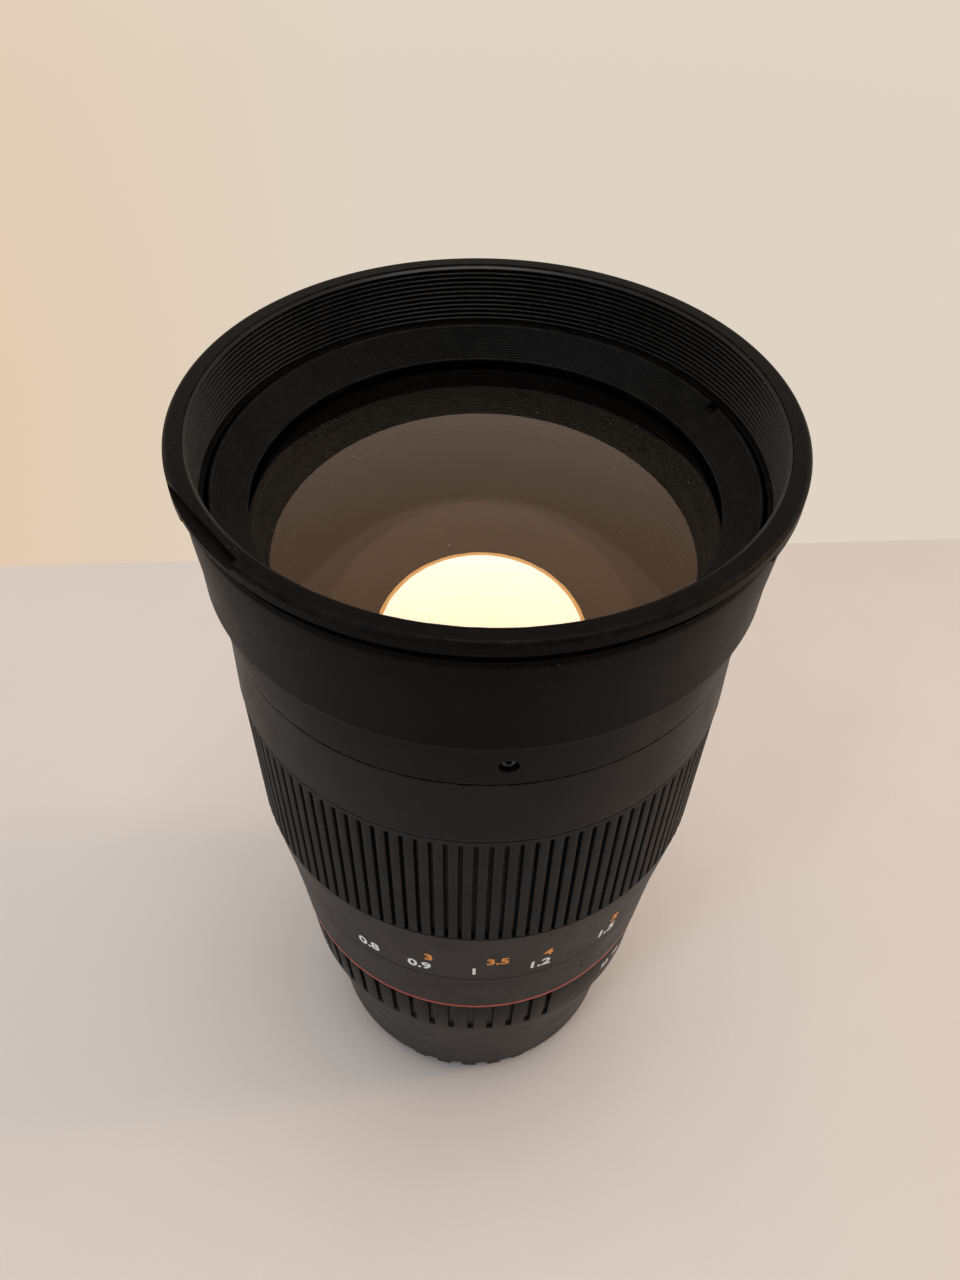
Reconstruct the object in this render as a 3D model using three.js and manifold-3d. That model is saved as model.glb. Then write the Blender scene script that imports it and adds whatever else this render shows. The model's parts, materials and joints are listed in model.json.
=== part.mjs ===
// A fast telephoto prime lens for a mirrorless camera, standing on its rear cap.
// Millimetres, +Z along the optical axis towards the front glass, origin at the centre of the cap's foot.
// Azimuth 0 faces -Y and grows towards +X.
import * as THREE from "three";
import { mergeVertices } from "three/addons/utils/BufferGeometryUtils.js";
import Module from "manifold-3d";

const wasm = await Module();
wasm.setup();

// Driving dimensions
const sides = 36; // facets round every turned ring
const gap = 0.3; // clearance between pieces that touch
const capHeight = 6.5; // the rear tube's end above the cap's foot
const rimTop = capHeight + 146.45;
const filterBore = 38.1; // radius over the crests of an M77 x 0.75 thread
const rimRadius = 41;
const gripRadius = 38.2;
const tubeEndRadius = 29.84;
const guideRadius = 32.8; // outside of the fixed guide tube
const blockRadius = 30.9; // outside of the sliding lens block's tube
const apertureTurn = 46.5; // degrees from f/2 to f/22
const irisOpening = 20; // radius of the blades' inner edges, wide open
const bladePivot = 26.3;
const bladeCount = 9;
const leverAzimuth = 200;

// Heights along the axis
const apertureLow = capHeight + 28.5;
const apertureTop = capHeight + 41.7;
const accentLow = capHeight + 42;
const nameLow = accentLow + 0.6 + gap;
const focusLow = capHeight + 56.3;
const gripLow = capHeight + 75.4;
const gripTop = capHeight + 104;
const seam = capHeight + 116.9;
const barrelLow = capHeight + 126.2;
const cellTop = capHeight + 137.3;
const irisFloor = capHeight + 81.8;

const finishes = {
  shell: { color: 0x2b2926, roughness: 0.55, metalness: 0.4 },
  inner: { color: 0x141312, roughness: 0.6, metalness: 0.3 },
  rubber: { color: 0x1b1a1a, roughness: 0.8, metalness: 0 },
  accent: { color: 0x9c2f22, roughness: 0.4, metalness: 0.3 },
  chrome: { color: 0xb9b8b4, roughness: 0.3, metalness: 1 },
  steel: { color: 0x6c6a66, roughness: 0.35, metalness: 1 },
  brass: { color: 0xb08a45, roughness: 0.4, metalness: 1 },
  cap: { color: 0x1f1e1d, roughness: 0.7, metalness: 0 },
  glass: { color: 0xcfd6d4, roughness: 0.02, metalness: 0, transparent: true, opacity: 0.35 },
};

function degrees(value) {
  return THREE.MathUtils.degToRad(value);
}

// A point at a radius, an azimuth and a height.
function at(radius, azimuth, z) {
  const a = degrees(azimuth);
  return new THREE.Vector3(radius * Math.sin(a), -radius * Math.cos(a), z);
}

// A closed outline of [radius, height] points, turned about Z.
function turned(outline, facets = sides) {
  const points = outline.map(([r, z]) => new THREE.Vector2(r, z));
  if (THREE.ShapeUtils.area(points) < 0) points.reverse();
  points.push(points[0].clone());
  return new THREE.LatheGeometry(points, facets).rotateX(Math.PI / 2);
}

function ring(inner, outer, low, high) {
  return turned([[inner, low], [outer, low], [outer, high], [inner, high]]);
}

// Height of a spherical surface below its vertex at a radius; a negative curve bends the other way.
function sag(radius, curve) {
  const r = Math.abs(curve);
  return Math.sign(curve) * (r - Math.sqrt(r * r - radius * radius));
}

// A lens element: front vertex height, front and rear curves (positive is convex to the front), thickness.
function element({ vertex, front, rear, thick, radius, clear = radius, steps = 3 }) {
  const outline = [];
  for (let i = 0; i <= steps; i++) {
    const r = (radius * i) / steps;
    outline.push([r, vertex - sag(r, front)]);
  }
  for (let i = steps; i >= 0; i--) {
    const r = (clear * i) / steps;
    outline.push([r, vertex - thick - sag(r, rear)]);
  }
  if (clear < radius) outline.splice(steps + 1, 0, [radius, vertex - thick - sag(clear, rear)]);
  const points = outline.map(([r, z]) => new THREE.Vector2(r, z)).reverse();
  return new THREE.LatheGeometry(points, sides).rotateX(Math.PI / 2);
}

function box(x, y, z) {
  return new THREE.BoxGeometry(x, y, z);
}

// A round bar along a direction, from one point to another.
function bar(radius, from, to, facets = 10, endRadius = radius) {
  const along = to.clone().sub(from);
  const turn = new THREE.Quaternion().setFromUnitVectors(
    new THREE.Vector3(0, 1, 0),
    along.clone().normalize(),
  );
  const middle = from.clone().add(to).multiplyScalar(0.5);
  return new THREE.CylinderGeometry(endRadius, radius, along.length(), facets)
    .applyQuaternion(turn)
    .translate(middle.x, middle.y, middle.z);
}

// A block of an annulus between two azimuths.
function sector(inner, outer, low, high, from, to, steps = 6) {
  const shape = new THREE.Shape();
  const rim = (radius, t) => {
    const a = degrees(from + (to - from) * t);
    return [radius * Math.sin(a), -radius * Math.cos(a)];
  };
  shape.moveTo(...rim(outer, 0));
  for (let i = 1; i <= steps; i++) shape.lineTo(...rim(outer, i / steps));
  for (let i = steps; i >= 0; i--) shape.lineTo(...rim(inner, i / steps));
  return new THREE.ExtrudeGeometry(shape, { depth: high - low, bevelEnabled: false }).translate(0, 0, low);
}

function solid(geometry) {
  const bare = geometry.index ? geometry.toNonIndexed() : geometry.clone();
  bare.deleteAttribute("normal");
  bare.deleteAttribute("uv");
  const merged = mergeVertices(bare, 1e-4);
  return new wasm.Manifold(
    new wasm.Mesh({
      numProp: 3,
      vertProperties: merged.attributes.position.array,
      triVerts: new Uint32Array(merged.index.array),
    }),
  );
}

function surface(body) {
  const mesh = body.getMesh();
  const geometry = new THREE.BufferGeometry();
  const positions = new Float32Array(mesh.numVert * 3);
  for (let i = 0; i < mesh.numVert; i++) {
    positions.set(mesh.vertProperties.subarray(i * mesh.numProp, i * mesh.numProp + 3), i * 3);
  }
  geometry.setAttribute("position", new THREE.BufferAttribute(positions, 3));
  geometry.setIndex(new THREE.BufferAttribute(new Uint32Array(mesh.triVerts), 1));
  return geometry;
}

function cut(geometry, tools) {
  return surface(tools.reduce((body, tool) => body.subtract(solid(tool)), solid(geometry)));
}

function join(geometry, additions) {
  return surface(additions.reduce((body, more) => body.add(solid(more)), solid(geometry)));
}

function piece(name, finish, geometry) {
  const mesh = new THREE.Mesh(geometry, new THREE.MeshStandardMaterial(finishes[finish]));
  mesh.name = name;
  return mesh;
}

// Front end of the fixed barrel: flared shell with its filter bore, and the hood bayonet cut into the rim.
const hoodGroove = { depth: 39.2, from: -60, to: 54 };
const hoodEntry = { depth: 39.5, from: -68, to: -42 };

function frontBarrel() {
  const shoulder = rimTop - 4;
  const grooveLow = rimTop - 3.8;
  const grooveTop = rimTop - 1.9;
  const entryLow = rimTop - 1.1;
  const boreLow = rimTop - 9.45;
  const outside = rimRadius + 1;
  const shell = turned([
    [37.6, barrelLow],
    [39.47, barrelLow],
    [39.47, barrelLow + 4.7],
    [39.88, barrelLow + 10.5],
    [40.1, shoulder],
    [rimRadius, shoulder + 1.2],
    [rimRadius, rimTop],
    [filterBore, rimTop],
    [filterBore, boreLow],
    [37.6, boreLow],
  ]);
  const groove = sector(hoodGroove.depth, outside, grooveLow, grooveTop, hoodGroove.from, hoodGroove.to, 16);
  const entry = sector(hoodEntry.depth, outside, entryLow, rimTop + 1, hoodEntry.from, hoodEntry.to, 4);
  return cut(shell, [groove, entry]);
}

// Narrow fixed band between the focus ring and the front barrel, with its web and three set screws.
const setScrewAzimuths = [5.8, 125.8, 245.8];
const setScrewHeight = capHeight + 121.6;

function barrelCollar() {
  const webTop = capHeight + 123.3;
  const band = turned([
    [guideRadius + gap, seam + 0.4],
    [38, seam + 0.4],
    [38.9, barrelLow - gap],
    [37.5, barrelLow - gap],
    [37.5, webTop],
    [guideRadius + gap, webTop],
  ]);
  const holes = setScrewAzimuths.map((azimuth) =>
    bar(1.25, at(guideRadius, azimuth, setScrewHeight), at(39.5, azimuth, setScrewHeight), 12),
  );
  return cut(band, holes);
}

function setScrew(azimuth) {
  const shank = bar(0.95, at(33.4, azimuth, setScrewHeight), at(37.9, azimuth, setScrewHeight), 12);
  const socket = bar(0.5, at(36.9, azimuth, setScrewHeight), at(38.5, azimuth, setScrewHeight), 6);
  return cut(shank, [socket]);
}

// Fixed guide tube with three straight slots, which the drive shoes slide in.
const shoeAzimuths = [60, 180, 300];
const shoeHeight = capHeight + 97;

function guideTube() {
  const tube = ring(blockRadius + gap, guideRadius, capHeight + 41.7, capHeight + 123.5);
  const slots = shoeAzimuths.map((azimuth) =>
    box(5.2, 8, 18.4)
      .translate(0, -guideRadius, shoeHeight + 3.65)
      .rotateZ(degrees(azimuth)),
  );
  return cut(tube, slots);
}

function nameBand() {
  const inner = guideRadius + gap;
  return turned([
    [inner, nameLow],
    [35.02, nameLow],
    [35.5, capHeight + 49.9],
    [36.02, focusLow - gap],
    [inner, focusLow - gap],
  ]);
}

// Rear tube: cone, journal for the aperture ring, bulkhead for the mount, slot for the aperture lever.
const screwCircle = 26;
const screwAzimuths = [45, 135, 225, 315];

function rearTube() {
  const journal = 32.5;
  const seat = capHeight + 1.4;
  const shell = turned([
    [tubeEndRadius, capHeight],
    [30.67, capHeight + 9.4],
    [33.5, apertureLow - gap - 0.2],
    [journal, apertureLow - gap],
    [journal, apertureTop - gap],
    [31, apertureTop - gap],
    [31, apertureLow - 3],
    [28.6, capHeight + 7.5],
    [28.6, seat + 1.8],
    [22.5, seat + 1.8],
    [22.5, seat],
    [29.2, seat],
    [29.2, capHeight],
  ]);
  const leverSlot = sector(
    30,
    34,
    apertureTop - 4.7,
    apertureTop + 1,
    leverAzimuth - 9,
    leverAzimuth + apertureTurn + 9,
    8,
  );
  const ballHole = bar(1.35, at(29.5, 80, apertureLow + 6), at(33.5, 80, apertureLow + 6), 12);
  const screwHoles = screwAzimuths.map((azimuth) =>
    bar(1.1, at(screwCircle, azimuth, seat - 1), at(screwCircle, azimuth, seat + 3)),
  );
  return cut(shell, [leverSlot, ballHole, ...screwHoles]);
}

// Bayonet mount: flange, throat tube and three lugs.
function mountRing() {
  const face = capHeight - gap;
  const ringBody = turned([
    [21.5, face - 3.6],
    [22.9, face - 3.6],
    [22.9, face],
    [28.9, face],
    [28.9, face + 1.4],
    [21.5, face + 1.4],
  ]);
  const lugs = [0, 120, 240].map((azimuth) =>
    sector(22.2, 24.2, face - 3.6, face - 2.4, azimuth - 20, azimuth + 20, 4),
  );
  const holes = screwAzimuths.map((azimuth) =>
    bar(1.85, at(screwCircle, azimuth, face - 1), at(screwCircle, azimuth, face + 2)),
  );
  return cut(join(ringBody, lugs), holes);
}

function mountScrew(azimuth) {
  const face = capHeight - gap;
  const head = bar(1.5, at(screwCircle, azimuth, face + 0.1), at(screwCircle, azimuth, face + 1.2), 10, 0.8);
  const shank = bar(0.8, at(screwCircle, azimuth, face + 1), at(screwCircle, azimuth, face + 3.2), 10);
  return join(head, [shank]);
}

function rearBaffle() {
  const plate = ring(6, 21.2, capHeight - 1.3, capHeight - 0.5);
  return cut(plate, [box(30, 22, 4).translate(0, 0, capHeight - 0.9)]);
}

// Rear lens cell with its flange on the bulkhead.
function rearCell() {
  return turned([
    [20.3, capHeight + 1.6],
    [22.1, capHeight + 1.6],
    [22.1, capHeight + 3.5],
    [28.2, capHeight + 3.5],
    [28.2, capHeight + 5.5],
    [22.1, capHeight + 5.5],
    [22.1, capHeight + 31],
    [20.3, capHeight + 31],
  ]);
}

// Aperture ring, its fork, and the click ball with its leaf spring.
function apertureRing() {
  const inner = 33.2;
  return turned([
    [inner, apertureLow],
    [34.02, apertureLow],
    [34.14, apertureLow + 1.6],
    [34.8, apertureTop],
    [inner, apertureTop],
  ]);
}

function apertureLever() {
  const low = apertureTop - 4.2;
  const plate = sector(28.4, 32.75, low, low + 2.5, leverAzimuth - 6, leverAzimuth + 6, 3);
  const fork = box(3.4, 4, 5)
    .translate(0, -29, low + 1)
    .rotateZ(degrees(leverAzimuth));
  return cut(plate, [fork]);
}

function clickBall() {
  const centre = at(31.7, 80, apertureLow + 6);
  return new THREE.SphereGeometry(1, 10, 6).translate(centre.x, centre.y, centre.z);
}

function clickSpring() {
  const middle = apertureLow + 6;
  return sector(30.1, 30.4, middle - 1.5, middle + 1.5, 62, 98, 6);
}

// Focus ring: scale band, groove for the rubber, front band, bearing lands on the guide tube.
function focusRing() {
  const land = guideRadius + 0.5;
  const inner = 35.3;
  const grooveFloor = gripRadius - 1.6;
  return turned([
    [land, focusLow],
    [36.06, focusLow],
    [36.4, capHeight + 60.4],
    [37.45, capHeight + 69.4],
    [38.1, gripLow - gap],
    [grooveFloor, gripLow - gap],
    [grooveFloor, gripTop + gap],
    [38.3, gripTop + gap],
    [37.9, seam],
    [land, seam],
    [land, seam - 2.9],
    [inner, seam - 2.9],
    [inner, focusLow + 3.7],
    [land, focusLow + 3.7],
  ]);
}

function rubberGrip() {
  return ring(gripRadius - 1.3, gripRadius, gripLow, gripTop);
}

function helicoidRing() {
  return ring(34.1, 35, capHeight + 69, capHeight + 111);
}

// The tab turns with the focus ring between two pins on the guide tube.
const stopHeight = capHeight + 64.5;
const focusNear = 123.6; // degrees to the closest distance
const focusFar = -23.2; // degrees to infinity
const tabHalf = 4;
const pinHalf = 2.4;

function focusTab() {
  return sector(34, 35, stopHeight - 1, stopHeight + 1, -tabHalf, tabHalf, 2);
}

function stopPin(azimuth) {
  return bar(1, at(guideRadius + gap, azimuth, stopHeight), at(34.8, azimuth, stopHeight), 10);
}

// Sliding lens block: cell, front bezel with its funnel, elements and the rings between them.
const frontGlass = { vertex: capHeight + 137.2, front: 118, rear: 400, thick: 8, radius: 33.6 };
const secondGlass = { vertex: capHeight + 123.2, front: 60, rear: 110, thick: 7, radius: 28.6 };
const thirdGlass = {
  vertex: capHeight + 109,
  front: 45,
  rear: 30,
  thick: 7.5,
  radius: 26.6,
  clear: 20,
};
const rearGlassA = { vertex: capHeight + 28, front: 40, rear: -90, thick: 9.5, radius: 20 };
const rearGlassB = { vertex: capHeight + 13, front: -55, rear: 80, thick: 3, radius: 20 };

function frontCell() {
  const shoulder = capHeight + 125.6;
  const seat = capHeight + 127.5;
  const rim = capHeight + 133.1;
  const low = capHeight + 92;
  return turned([
    [blockRadius - 1.6, low],
    [blockRadius, low],
    [blockRadius, shoulder],
    [36.9, shoulder],
    [36.9, rim],
    [33.9, rim],
    [33.9, seat],
    [32.6, seat],
    [blockRadius - 1.6, shoulder - 3],
  ]);
}

function frontBezel() {
  const low = capHeight + 133.4;
  const lip = 32.3;
  const funnel = turned([
    [36.9, low],
    [36.9, cellTop],
    [36.6, cellTop],
    [lip, low + 0.3],
    [lip, low],
  ]);
  const notches = [116, 296].map((azimuth) =>
    box(1.6, 3, 1.4)
      .translate(0, -36.3, cellTop)
      .rotateZ(degrees(azimuth)),
  );
  return cut(funnel, notches);
}

function driveShoe(azimuth) {
  return box(4.4, 2.4, 5)
    .translate(0, -32.45, shoeHeight)
    .rotateZ(degrees(azimuth));
}

// Iris: housing, cover, drive ring with its long tongue, and one blade to each level.
const bladeThick = 0.35;
const bladeStep = 0.7;

function irisHousing() {
  const floor = irisFloor;
  const top = floor + 8;
  return turned([
    [19.6, floor],
    [28.8, floor],
    [28.8, top],
    [28.2, top],
    [28.2, floor + 1],
    [19.6, floor + 1],
  ]);
}

function irisDriveRing() {
  const top = irisFloor - gap;
  const disc = ring(21, 28.8, top - 1.4, top);
  const ear = box(2.6, 3, 1.4)
    .translate(0, -28.9, top - 0.7)
    .rotateZ(degrees(leverAzimuth));
  const tongueLow = apertureTop - 13.3;
  const tongue = box(2.6, 1.2, top - tongueLow)
    .translate(0, -29.8, (top + tongueLow) / 2)
    .rotateZ(degrees(leverAzimuth));
  return join(disc, [ear, tongue]);
}

function irisBlade(index) {
  const outer = irisOpening + 4.6;
  const middle = irisOpening + 2.3;
  const end = 84;
  const shape = new THREE.Shape();
  const polar = (r, azimuth) => [r * Math.cos(degrees(azimuth)), r * Math.sin(degrees(azimuth))];
  shape.moveTo(...polar(irisOpening, -3));
  for (let a = 6; a <= end; a += 13) shape.lineTo(...polar(irisOpening, a));
  const tip = polar(middle, end);
  for (let a = 60; a >= -60; a -= 40) {
    const turn = degrees(end + 90 + a);
    shape.lineTo(tip[0] + 2.3 * Math.cos(turn), tip[1] + 2.3 * Math.sin(turn));
  }
  for (let a = end; a >= 6; a -= 13) shape.lineTo(...polar(outer, a));
  for (let a = 80; a >= -80; a -= 40) {
    shape.lineTo(bladePivot + 1.3 * Math.cos(degrees(a)), 1.3 * Math.sin(degrees(a)));
  }
  const level = irisFloor + 1.4 + bladeStep * index;
  return new THREE.ExtrudeGeometry(shape, { depth: bladeThick, bevelEnabled: false })
    .rotateZ(degrees((index * 360) / bladeCount))
    .translate(0, 0, level);
}

// Rear cap: cup with three inner claws that stand between the mount's lugs.
function rearCap() {
  const wall = 28.2;
  const inner = 26.6;
  const top = capHeight - 2 * gap;
  const cup = turned([
    [0, 0],
    [wall - 0.5, 0],
    [wall, 0.5],
    [wall, top],
    [inner, top],
    [inner, 1.3],
    [0, 1.3],
  ]);
  const claws = [60, 180, 300].map((azimuth) =>
    sector(23.3, 27.2, top - 1.5, top - 0.3, azimuth - 16, azimuth + 16, 4),
  );
  return join(cup, claws);
}

const lens = new THREE.Group();

const barrel = new THREE.Group();
barrel.add(
  piece("front_barrel", "shell", frontBarrel()),
  piece("barrel_collar", "shell", barrelCollar()),
  piece("guide_tube", "inner", guideTube()),
  piece("name_band", "shell", nameBand()),
  piece("accent_ring", "accent", ring(guideRadius + gap, 34.97, accentLow, accentLow + 0.6)),
  piece("rear_tube", "shell", rearTube()),
  piece("mount_ring", "chrome", mountRing()),
  piece("rear_baffle", "inner", rearBaffle()),
  piece("rear_cell", "inner", rearCell()),
  piece("rear_element_1", "glass", element(rearGlassA)),
  piece("rear_element_2", "glass", element(rearGlassB)),
  piece("rear_spacer", "inner", ring(18.6, 20, capHeight + 17.1, capHeight + 20.4)),
  piece("rear_retaining_ring", "inner", ring(17, 20, capHeight + 5.2, capHeight + 7.1)),
  piece("click_ball", "steel", clickBall()),
  piece("click_spring", "steel", clickSpring()),
  piece("infinity_stop_pin", "steel", stopPin(focusFar - tabHalf - pinHalf)),
  piece("near_stop_pin", "steel", stopPin(focusNear + tabHalf + pinHalf)),
);
setScrewAzimuths.forEach((azimuth, i) => barrel.add(piece(`collar_screw_${i + 1}`, "steel", setScrew(azimuth))));
screwAzimuths.forEach((azimuth, i) => barrel.add(piece(`mount_screw_${i + 1}`, "chrome", mountScrew(azimuth))));
lens.add(barrel);

const apertureGroup = new THREE.Group();
apertureGroup.add(
  piece("aperture_ring", "shell", apertureRing()),
  piece("aperture_lever", "steel", apertureLever()),
);
lens.add(apertureGroup);

const focusGroup = new THREE.Group();
focusGroup.add(
  piece("focus_ring", "shell", focusRing()),
  piece("rubber_grip", "rubber", rubberGrip()),
  piece("helicoid_ring", "brass", helicoidRing()),
  piece("focus_stop_tab", "steel", focusTab()),
);
lens.add(focusGroup);

const lensBlock = new THREE.Group();
lensBlock.add(
  piece("front_cell", "inner", frontCell()),
  piece("front_bezel", "inner", frontBezel()),
  piece("front_element", "glass", element(frontGlass)),
  piece("second_element", "glass", element(secondGlass)),
  piece("cell_spacer", "inner", ring(26.9, 29, capHeight + 93.8, capHeight + 111.8)),
  piece("third_element", "glass", element(thirdGlass)),
  piece("cell_retaining_ring", "inner", ring(21, 29, capHeight + 92, capHeight + 93.4)),
  piece("iris_housing", "inner", irisHousing()),
  piece("iris_cover", "inner", ring(19.6, 28.8, irisFloor + 8.3, irisFloor + 9.3)),
);
shoeAzimuths.forEach((azimuth, i) => lensBlock.add(piece(`drive_shoe_${i + 1}`, "brass", driveShoe(azimuth))));
lens.add(lensBlock);

const iris = new THREE.Group();
iris.add(piece("iris_drive_ring", "steel", irisDriveRing()));
for (let i = 0; i < bladeCount; i++) iris.add(piece(`iris_blade_${i + 1}`, "inner", irisBlade(i)));
lens.add(iris);

lens.add(piece("rear_cap", "cap", rearCap()));

export default lens;
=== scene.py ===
import json
import math

import bmesh
import bpy
from mathutils import Matrix, Vector

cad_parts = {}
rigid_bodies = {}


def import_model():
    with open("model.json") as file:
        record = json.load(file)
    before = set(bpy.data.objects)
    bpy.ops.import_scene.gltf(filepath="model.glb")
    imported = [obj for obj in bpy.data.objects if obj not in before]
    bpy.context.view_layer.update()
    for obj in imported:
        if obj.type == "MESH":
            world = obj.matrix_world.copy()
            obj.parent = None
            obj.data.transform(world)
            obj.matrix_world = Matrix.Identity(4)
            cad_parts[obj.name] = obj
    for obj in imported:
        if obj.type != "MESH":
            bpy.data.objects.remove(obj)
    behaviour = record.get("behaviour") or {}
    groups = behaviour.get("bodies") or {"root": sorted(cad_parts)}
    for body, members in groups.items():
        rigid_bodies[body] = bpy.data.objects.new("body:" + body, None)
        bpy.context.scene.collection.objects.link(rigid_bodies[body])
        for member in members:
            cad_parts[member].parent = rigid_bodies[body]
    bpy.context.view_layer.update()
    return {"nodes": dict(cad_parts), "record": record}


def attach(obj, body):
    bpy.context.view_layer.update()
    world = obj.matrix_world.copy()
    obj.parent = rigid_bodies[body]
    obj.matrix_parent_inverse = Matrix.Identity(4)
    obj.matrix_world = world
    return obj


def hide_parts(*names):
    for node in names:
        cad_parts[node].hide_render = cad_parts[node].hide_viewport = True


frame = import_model()
print("frame loaded")

mm = 0.001
nodeBody = {n: b for b, names in frame["record"]["behaviour"]["bodies"].items() for n in names}


class Value:
    # a socket that adds its own maths nodes
    def __init__(self, graph, socket):
        self.graph = graph
        self.socket = socket

    def joined(self, operation, first, second=0.0):
        return self.graph.node("ShaderNodeMath", {"operation": operation}, {0: first, 1: second})

    def __add__(self, other):
        return self.joined("ADD", self, other)

    def __sub__(self, other):
        return self.joined("SUBTRACT", self, other)

    def __mul__(self, other):
        return self.joined("MULTIPLY", self, other)

    def __rsub__(self, other):
        return self.joined("SUBTRACT", other, self)

    __radd__ = __add__
    __rmul__ = __mul__


class Graph:
    # a node tree with one way of adding a node
    def __init__(self, tree):
        self.tree = tree

    def node(self, kind, settings=None, inputs=None, output=0):
        made = self.tree.nodes.new(kind)
        for key, value in (settings or {}).items():
            if key == "stops":
                for stop, (place, colour) in zip(made.color_ramp.elements, value):
                    stop.position = place
                    stop.color = (*colour, 1)
            else:
                setattr(made, key, value)
        for key, value in (inputs or {}).items():
            self.feed(made.inputs[key], value)
        return Value(self, made.outputs[output])

    def feed(self, socket, value):
        if isinstance(value, Value):
            self.tree.links.new(value.socket, socket)
        else:
            socket.default_value = value


white = (1, 1, 1)
lintTone = (0.35, 0.34, 0.33)
lintCell, lintPatch, wearPatch, glassLintCell = 1.7, 3.1, 1.6, 2.6  # mm

# dark and light are the two tones, blotch and grain are sizes in mm, depth is the bump in mm
finishes = {
    "satinBlack": dict(
        slot="barrel_paint", dark=(0.0040, 0.0033, 0.0031), light=(0.0072, 0.0060, 0.0055), blotch=9,
        grain=0.16, depth=0.010, rough=(0.36, 0.50), worn=(0.06, 0.056, 0.052), wornShare=0.5,
        metallic=0.0, sheen=0.11, dust=0.10,
    ),
    # painted shade: a darker copy of the satin barrel paint for the front shell and collar band, so the upper
    # barrel reads as if in shade
    "shadedShellBlack": dict(
        slot="barrel_paint", dark=(0.0022, 0.0018, 0.0016), light=(0.0040, 0.0032, 0.0029), blotch=9,
        grain=0.16, depth=0.010, rough=(0.36, 0.48), worn=(0.030, 0.027, 0.024), wornShare=0.25, metallic=0.0,
        sheen=0.045, dust=0.10,
    ),
    "threadBlack": dict(
        slot="inner_black", dark=(0.0022, 0.0020, 0.0019), light=(0.0048, 0.0044, 0.0042), blotch=5,
        grain=0.10, depth=0.004, rough=(0.24, 0.36), worn=(0.05, 0.047, 0.045), wornShare=0.6, metallic=0.0,
        sheen=0.20, dust=0.05,
    ),
    "innerBlack": dict(
        slot="inner_black", dark=(0.0025, 0.0024, 0.0024), light=(0.0052, 0.0050, 0.0049), blotch=6,
        grain=0.12, depth=0.008, rough=(0.42, 0.62), worn=(0.03, 0.028, 0.027), wornShare=0.35,
        metallic=0.0, sheen=0.07,
        dust=0.05, lines=0.11, lineDepth=0.006,
    ),
    # matt black of the lens cells, made darker than the inner black as painted shade for the unlit inside of
    # the lens
    "cellBlackShaded": dict(
        slot="inner_black", dark=(0.0008, 0.0008, 0.0008), light=(0.0018, 0.0017, 0.0016), blotch=6,
        grain=0.3, depth=0.001, rough=(0.5, 0.6), worn=(0.012, 0.011, 0.010), wornShare=0.3, metallic=0.0,
        sheen=0.04, dust=0.0,
    ),
    "bladeBlack": dict(
        slot="blade_black", dark=(0.007, 0.007, 0.0075), light=(0.014, 0.014, 0.0145), blotch=4,
        grain=0.1, depth=0.003, rough=(0.30, 0.42), worn=(0.10, 0.10, 0.10), wornShare=0.5,
        metallic=0.6, dust=0.0,
    ),
    "gripRubber": dict(
        slot="grip_rubber", dark=(0.0042, 0.0042, 0.0048), light=(0.0072, 0.0072, 0.0080), blotch=5,
        grain=0.22, depth=0.014, rough=(0.56, 0.74), worn=(0.030, 0.030, 0.033), wornShare=0.6,
        metallic=0.0, sheen=0.22, dust=0.35,
    ),
    "redPaint": dict(
        slot="accent_red", dark=(0.36, 0.028, 0.018), light=(0.50, 0.045, 0.028), blotch=3,
        grain=0.15, depth=0.006, rough=(0.30, 0.42), worn=(0.55, 0.25, 0.2), wornShare=0.3,
        metallic=0.2, dust=0.05,
    ),
    "mountMetal": dict(
        slot="mount_metal", dark=(0.50, 0.49, 0.47), light=(0.62, 0.61, 0.59), blotch=7,
        grain=0.1, depth=0.002, rough=(0.22, 0.34), worn=(0.75, 0.74, 0.72), wornShare=0.5, metallic=1.0,
        dust=0.0, lines=0.09, lineDepth=0.003,
    ),
    "screwSteel": dict(
        slot="screw_steel", dark=(0.055, 0.055, 0.057), light=(0.10, 0.10, 0.10), blotch=1.5,
        grain=0.08, depth=0.003, rough=(0.28, 0.42), worn=(0.32, 0.32, 0.31), wornShare=0.6,
        metallic=0.9, dust=0.0,
    ),
    "brass": dict(
        slot="brass_parts", dark=(0.40, 0.25, 0.085), light=(0.55, 0.36, 0.13), blotch=4,
        grain=0.1, depth=0.004, rough=(0.28, 0.44), worn=(0.7, 0.5, 0.22), wornShare=0.5, metallic=1.0,
        dust=0.0, lines=0.12, lineDepth=0.004,
    ),
    "capPlastic": dict(
        slot="cap_plastic", dark=(0.0075, 0.0073, 0.0070), light=(0.0125, 0.012, 0.0117), blotch=8,
        grain=0.3, depth=0.02, rough=(0.48, 0.66), worn=(0.06, 0.058, 0.055), wornShare=0.5,
        metallic=0.0, sheen=0.42, dust=0.12,
    ),
    "whiteMark": dict(
        slot=None, dark=(0.84, 0.86, 0.87), light=(0.95, 0.96, 0.96), blotch=0.8,
        grain=0.12, depth=0.004, rough=(0.5, 0.62), worn=(0.4, 0.4, 0.4), wornShare=0.2, metallic=0.0,
        dust=0.0,
    ),
    "orangeMark": dict(
        slot=None, dark=(0.88, 0.29, 0.030), light=(0.98, 0.38, 0.055), blotch=0.8,
        grain=0.12, depth=0.004, rough=(0.5, 0.62), worn=(0.5, 0.2, 0.05), wornShare=0.2, metallic=0.0,
        dust=0.0,
    ),
    "table": dict(
        slot=None, dark=(0.60, 0.545, 0.52), light=(0.66, 0.60, 0.575), blotch=120,
        grain=0.9, depth=0.02, rough=(0.42, 0.52), worn=white, wornShare=0.0, metallic=0.0, dust=0.0,
    ),
}
materials = {}
finishSlots = {name: look["slot"] for name, look in finishes.items()}


def noise(graph, place, size, detail=2.0, roughness=0.5):
    return graph.node(
        "ShaderNodeTexNoise", {},
        {"Vector": place, "Scale": 1 / (size * mm), "Detail": detail, "Roughness": roughness},
    )


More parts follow.
